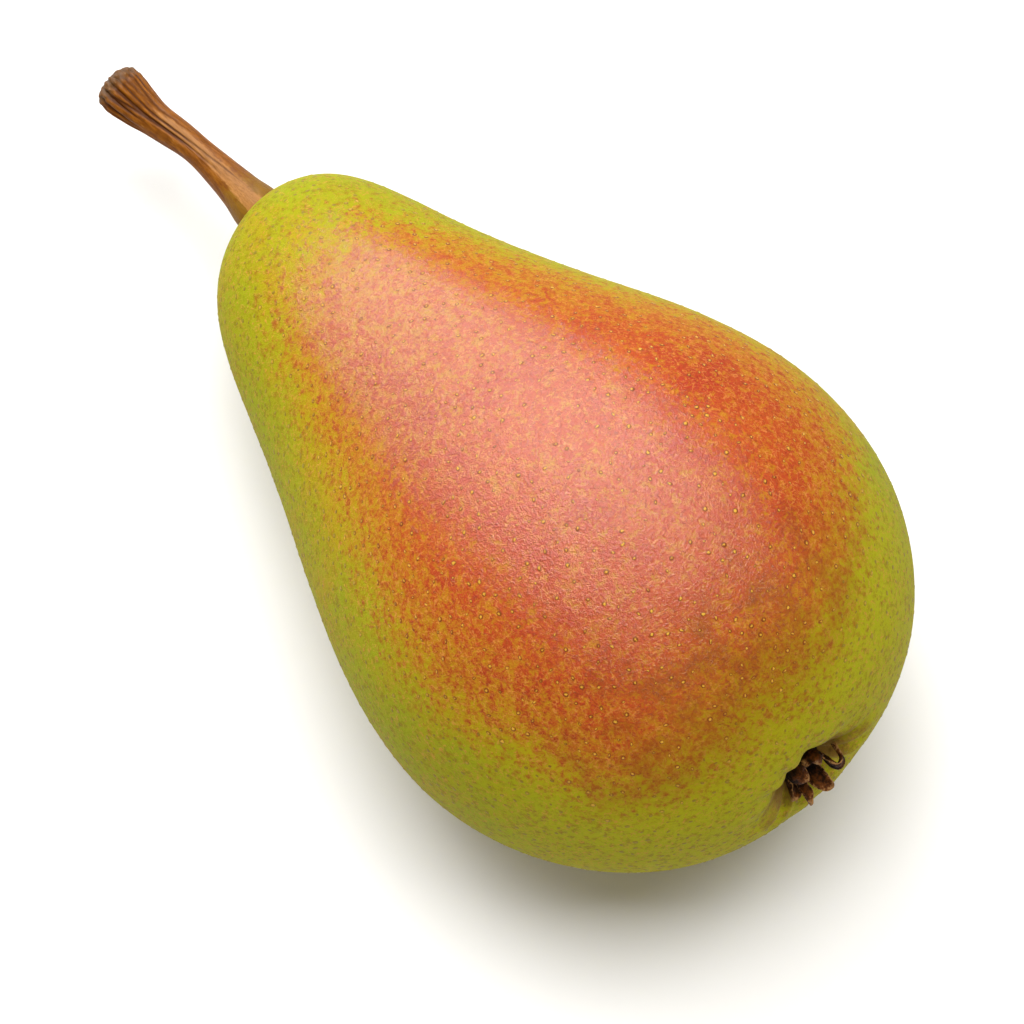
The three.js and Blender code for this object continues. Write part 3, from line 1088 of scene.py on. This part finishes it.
@dataclass
class Calyx:
    """The dried cup with its sepals, in millimetres."""

    pose: Pose
    seat_y: float = -0.8
    cup_bottom: float = 94.9
    cup_top: float = 98.3
    cup_radius: float = 2.5
    cup_wall: float = 0.8
    cup_hollow: float = 1.9
    thickness: float = 0.5
    cup_rings: int = 40
    cup_sides: int = 72
    sepal_rings: int = 36
    sepal_sides: int = 20
    sepals: tuple[Sepal, ...] = (
        Sepal(5, 1.4, ((-0.9, 2.1, 0), (1.2, 2.6, 0), (2.8, 3.1, 0), (2.6, 3.6, 0), (0.5, 4.3, 0)),
              0.0, 0.3),
        Sepal(54, 3.4, ((-0.9, 2.0, 0), (0.4, 2.7, 0), (1.2, 2.8, 0), (1.6, 2.1, -6)), 0.15, 0.9),
        Sepal(128, 3.2, ((-0.9, 2.0, 0), (0.3, 2.5, 0), (1.2, 2.3, 0), (2.1, 1.6, -6)), -0.3, 0.8),
        Sepal(190, 2.5, ((-0.9, 2.1, 0), (0.4, 2.6, 0), (1.3, 3.0, 0), (2.2, 3.5, 0)), 0.4, 0.7),
        Sepal(234, 1.9, ((-0.9, 2.1, 0), (1.0, 2.5, 0), (2.4, 2.7, -4), (3.6, 3.0, -8)), 0.0, 0.45),
        Sepal(290, 2.6, ((-0.9, 2.1, 0), (1.0, 2.5, 0), (2.3, 2.9, 0), (3.5, 3.6, 4)), 0.0, 0.5),
    )

    def build(self, material: Material) -> Object:
        """Builds the cup and the sepals as one piece.

        Args:
            material: The calyx's finish.

        Returns:
            The calyx.
        """
        parts = [self.cup()] + [self.sepal(number, sepal) for number, sepal in enumerate(self.sepals)]
        shells = [(self.pose.lay_down(points * MM), faces) for points, faces, _, _ in parts]
        values = {Attribute.EDGE: np.concatenate([part[2] for part in parts]),
                  Attribute.ALONG: np.concatenate([part[3] for part in parts])}
        return mesh_piece("calyx_dried", shells, values, material)

    def cup(self) -> tuple[np.ndarray, list[tuple], np.ndarray, np.ndarray]:
        """Shapes the cup with a wrinkled wall.

        Returns:
            Its points and faces, and at each point how near an edge and a tip are.
        """
        inside = self.cup_radius - self.cup_wall
        floor = self.cup_top - self.cup_hollow
        outline = np.array([
            [self.cup_bottom, self.cup_radius - 0.3], [self.cup_bottom + 0.5, self.cup_radius],
            [self.cup_top - 0.3, self.cup_radius], [self.cup_top, self.cup_radius - 0.3],
            [self.cup_top - 0.1, inside + 0.2], [floor + 0.5, inside], [floor, inside - 0.6]])
        drawn = smooth_line(outline, np.linspace(0, 1, self.cup_rings))
        angles = np.linspace(0, 2 * math.pi, self.cup_sides, endpoint=False)
        wrinkle = 0.07 * np.cos(17 * angles) + 0.08 * np.cos(5 * angles + 1)
        radius = drawn[:, 1][:, None] + wrinkle[None, :]
        rings = np.stack([np.repeat(drawn[:, :1], self.cup_sides, 1),
                          self.seat_y + radius * np.cos(angles), radius * np.sin(angles)], -1)
        points, faces = closed_tube(rings, np.array([self.cup_bottom, self.seat_y, 0]),
                                    np.array([floor - 0.1, self.seat_y, 0]))
        return points, faces, np.zeros(len(points)), np.zeros(len(points))

    def sepal(self, number: int, sepal: Sepal) -> tuple[np.ndarray, list[tuple], np.ndarray, np.ndarray]:
        """Shapes one sepal as a pointed blade whose edges curl inwards and crinkle.

        Args:
            number: The sepal's number, which varies its frill.
            sepal: Its place and midrib.

        Returns:
            Its points and faces, and at each point how near an edge and a tip are.
        """
        rib = []
        for height, out, turn in sepal.rib:
            phi = math.radians(sepal.angle + turn)
            rib.append([self.cup_top + height, self.seat_y + out * math.cos(phi), out * math.sin(phi)])
        share = np.linspace(0, 1, self.sepal_rings)
        centre = smooth_line(np.array(rib), share)
        along = unit(np.gradient(centre, axis=0))
        phi = math.radians(sepal.angle)
        across = square_to(along, np.array([0.0, -math.sin(phi), math.cos(phi)]))
        inwards = np.cross(along, across)
        swing = sepal.twist * share[:, None]
        across, inwards = (across * np.cos(swing) + inwards * np.sin(swing),
                           inwards * np.cos(swing) - across * np.sin(swing))
        taper = np.sqrt(1 - share ** 2.2) * (0.75 + 0.75 * share * (1 - share)) + 0.1
        half_width = sepal.width / 2 * taper
        half_thickness = self.thickness / 2 * (1 - 0.35 * share)
        turn = np.linspace(0, 2 * math.pi, self.sepal_sides, endpoint=False)
        sideways = np.cos(turn)
        frill = (0.14 * np.sin(9 * share[:, None] + 2 * number) * np.sign(sideways) * sideways ** 2
                 + 0.08 * np.sin(21 * share[:, None] + 3 * number) * sideways ** 2
                 + 0.06 * np.cos(8 * sideways[None, :] + number + 3 * share[:, None]))
        curl = sepal.curl * (0.6 + share[:, None]) * sideways ** 2 * taper[:, None]
        rings = (centre[:, None] + across[:, None] * (half_width[:, None] * sideways)[..., None]
                 + inwards[:, None] * (half_thickness[:, None] * np.sin(turn) + curl + frill)[..., None])
        points, faces = closed_tube(rings, centre[0], centre[-1])
        edge = np.maximum(np.abs(sideways)[None, :] ** 3 * 0.9, share[:, None] ** 4)
        reach = np.repeat(share[:, None], self.sepal_sides, 1)
        return points, faces, listed(edge), listed(reach)


@dataclass
class Stamens:
    """The withered stamens that stand in a ring inside the cup."""

    pose: Pose
    count: int = 20
    ring_radius: float = 1.3 * MM
    root: tuple[float, float, float] = (97.0 * MM, -0.8 * MM, 0.0)
    height: float = 1.7 * MM
    thickness: float = 0.16 * MM
    lean: float = math.radians(24)
    seed: int = 3

    def build(self, material: Material) -> Object:
        """Sets one thin stalk on each point of a ring, and lays the ring in the cup.

        Args:
            material: The stamens' finish.

        Returns:
            All stamens in one mesh.
        """
        recipe = Recipe("stamens_in_ring")
        height = recipe.size(self, "height")
        thickness = recipe.size(self, "thickness")
        ports = {"Vertices": recipe.size(self, "count", "NodeSocketInt"),
                 "Radius": recipe.size(self, "ring_radius")}
        ring = recipe.node("GeometryNodeMeshCircle", ports)
        ports = {"Vertices": 7, "Side Segments": 4, "Radius Top": thickness * 0.35,
                 "Radius Bottom": thickness, "Depth": height}
        stalk = recipe.node("GeometryNodeMeshCone", ports, fill_type="TRIANGLE_FAN")
        lean = recipe.size(self, "lean")
        seed = recipe.size(self, "seed", "NodeSocketInt")
        turns = recipe.node("FunctionNodeRandomValue", {"Seed": seed}, data_type="FLOAT_VECTOR")
        feed(shown(turns.inputs, "Min"), point_of(recipe.tree, lean * -1.0, lean * -1.0, 0.0))
        feed(shown(turns.inputs, "Max"), point_of(recipe.tree, lean, lean, math.pi))
        ports = {"Points": ring.outputs[0], "Instance": stalk.outputs["Mesh"],
                 "Rotation": shown(turns.outputs, "Value")}
        spread = recipe.node("GeometryNodeInstanceOnPoints", ports)
        ports = {"Geometry": spread.outputs[0], "Rotation": (0.0, math.pi / 2 - self.pose.tilt, 0.0),
                 "Translation": tuple(self.pose.lay_down(np.array(self.root)).tolist())}
        laid = recipe.node("GeometryNodeTransform", ports)
        return recipe.make("stamens", laid.outputs[0], material)


class Role(Enum):
    """What a light does: it lights matter, it shows as a reflection in wax, or both."""

    FILL = "fill"
    SHINE = "shine"
    BOTH = "both"


@dataclass(frozen=True)
class Softbox:
    """A soft rectangular light hung above the pear.

    The tilt is from straight up towards the picture's top, and the turn is from there to its
    right. A light that only fills doesn't show in the wax, and one that only shines lights no matter.
    """

    name: str
    tilt: float
    turn: float
    distance: float
    width: float
    depth: float
    power: float
    role: Role = Role.BOTH


@dataclass
class Studio:
    """The pale floor, the soft lights and the camera."""

    azimuth: float = math.radians(47.57)
    elevation: float = math.radians(76.17)
    distance: float = 402.6 * MM
    middle: tuple[float, float, float] = (-10 * MM, 0.0, 32 * MM)
    aim_right: float = -4.58 * MM
    aim_up: float = 0.38 * MM
    lens: float = 120.0
    sensor_width: float = 36.0
    nearest: float = 10 * MM
    floor_size: float = 8.0
    floor_drop: float = 0.01 * MM
    floor_colour: tuple[float, float, float, float] = (0.86, 0.86, 0.86, 1.0)
    room_light: float = 0.25
    room_colour: tuple[float, float, float, float] = (1.1, 1.0, 0.86, 1.0)
    softboxes: tuple = (
        Softbox("overhead", math.radians(9.5), 0.0, 1.6, 1.24, 0.7, 31.0, Role.FILL),
        Softbox("shine_on_belly", math.radians(25), math.radians(-3), 1.5, 0.5, 0.5, 34.0, Role.SHINE),
        Softbox("shine_on_neck", math.radians(54), math.radians(-18), 1.3, 0.45, 0.8, 19.0, Role.SHINE),
        Softbox("between", math.radians(42), math.radians(-22), 1.4, 0.7, 0.7, 3.0, Role.FILL),
        Softbox("neck_side", math.radians(72), math.radians(-30), 1.2, 0.6, 0.6, 6.5),
    )

    def axes(self) -> tuple[Vector, Vector, Vector]:
        """Returns the camera's right, up and back directions."""
        right = Vector((math.cos(self.azimuth), math.sin(self.azimuth), 0))
        back = Vector((math.sin(self.azimuth) * math.cos(self.elevation),
                       -math.cos(self.azimuth) * math.cos(self.elevation), math.sin(self.elevation)))
        return right, back.cross(right), back

    def build(self) -> None:
        """Sets up everything that isn't part of the object."""
        self.floor()
        self.world()
        right, up, back = self.axes()
        for softbox in self.softboxes:
            self.light(softbox, right, Vector((up.x, up.y, 0)).normalized())
        self.camera(right, up, back)
        bpy.context.scene.view_settings.view_transform = "Standard"

    def floor(self) -> None:
        """Lays the pale floor."""
        half = self.floor_size / 2
        mesh = bpy.data.meshes.new("floor")
        corners = [(x * half, y * half, -self.floor_drop) for x, y in ((-1, -1), (1, -1), (1, 1), (-1, 1))]
        mesh.from_pydata(corners, [], [(0, 1, 2, 3)])
        material, _, _ = new_material("pale_floor", Base_Color=self.floor_colour, Roughness=0.7)
        mesh.materials.append(material)
        floor = bpy.data.objects.new("floor", mesh)
        bpy.context.scene.collection.objects.link(floor)

    def world(self) -> None:
        """Fills the room with even light."""
        world = bpy.data.worlds.new("studio")
        world.use_nodes = True
        background = world.node_tree.nodes["Background"]
        background.inputs["Color"].default_value = self.room_colour
        background.inputs["Strength"].default_value = self.room_light
        bpy.context.scene.world = world

    def light(self, softbox: Softbox, right: Vector, level: Vector) -> None:
        """Hangs a soft light that points at the pear.

        Args:
            softbox: The light's size and place.
            right: The picture's right, along the floor.
            level: The picture's top, along the floor.
        """
        lamp = bpy.data.lights.new(softbox.name, "AREA")
        lamp.shape = "RECTANGLE"
        lamp.size = softbox.width
        lamp.size_y = softbox.depth
        lamp.energy = softbox.power
        towards = level * math.cos(softbox.turn) + right * math.sin(softbox.turn)
        towards = towards * math.sin(softbox.tilt) + Vector((0, 0, math.cos(softbox.tilt)))
        across = level.cross(towards).normalized()
        holder = bpy.data.objects.new(softbox.name, lamp)
        holder.matrix_world = Matrix.LocRotScale(
            Vector(self.middle) + towards * softbox.distance,
            Matrix((across, towards.cross(across), towards)).transposed(), None)
        holder.visible_diffuse = softbox.role is not Role.SHINE
        holder.visible_glossy = softbox.role is not Role.FILL
        bpy.context.scene.collection.objects.link(holder)

    def camera(self, right: Vector, up: Vector, back: Vector) -> None:
        """Places the camera at the photograph's viewing angle.

        Args:
            right: The picture's right.
            up: The picture's top.
            back: From the pear to the camera.
        """
        target = Vector(self.middle) + right * self.aim_right + up * self.aim_up
        lens = bpy.data.cameras.new("camera")
        lens.lens = self.lens
        lens.sensor_width = self.sensor_width
        lens.clip_start = self.nearest
        holder = bpy.data.objects.new("camera", lens)
        holder.location = target + back * self.distance
        holder.rotation_euler = back.to_track_quat("Z", "Y").to_euler()
        bpy.context.scene.collection.objects.link(holder)
        bpy.context.scene.camera = holder


def main() -> None:
    """Builds the pear and its studio."""
    logging.basicConfig(level=logging.INFO, format="%(message)s")
    pose = Pose()
    fruit = Fruit(pose).build(SkinFinish().material())
    hand_over(fruit, "skin", "fruit")
    lenticels = Lenticels().build(fruit, LenticelFinish().material())
    hand_over(lenticels, "skin")
    stem = Stem(pose).build(StemFinish().material())
    hand_over(stem, "stem", "stem")
    dried = CalyxFinish().material()
    calyx = Calyx(pose).build(dried)
    hand_over(calyx, "calyx", "calyx")
    hand_over(Stamens(pose).build(dried), "calyx")
    Studio().build()


if __name__ == "__main__":
    main()
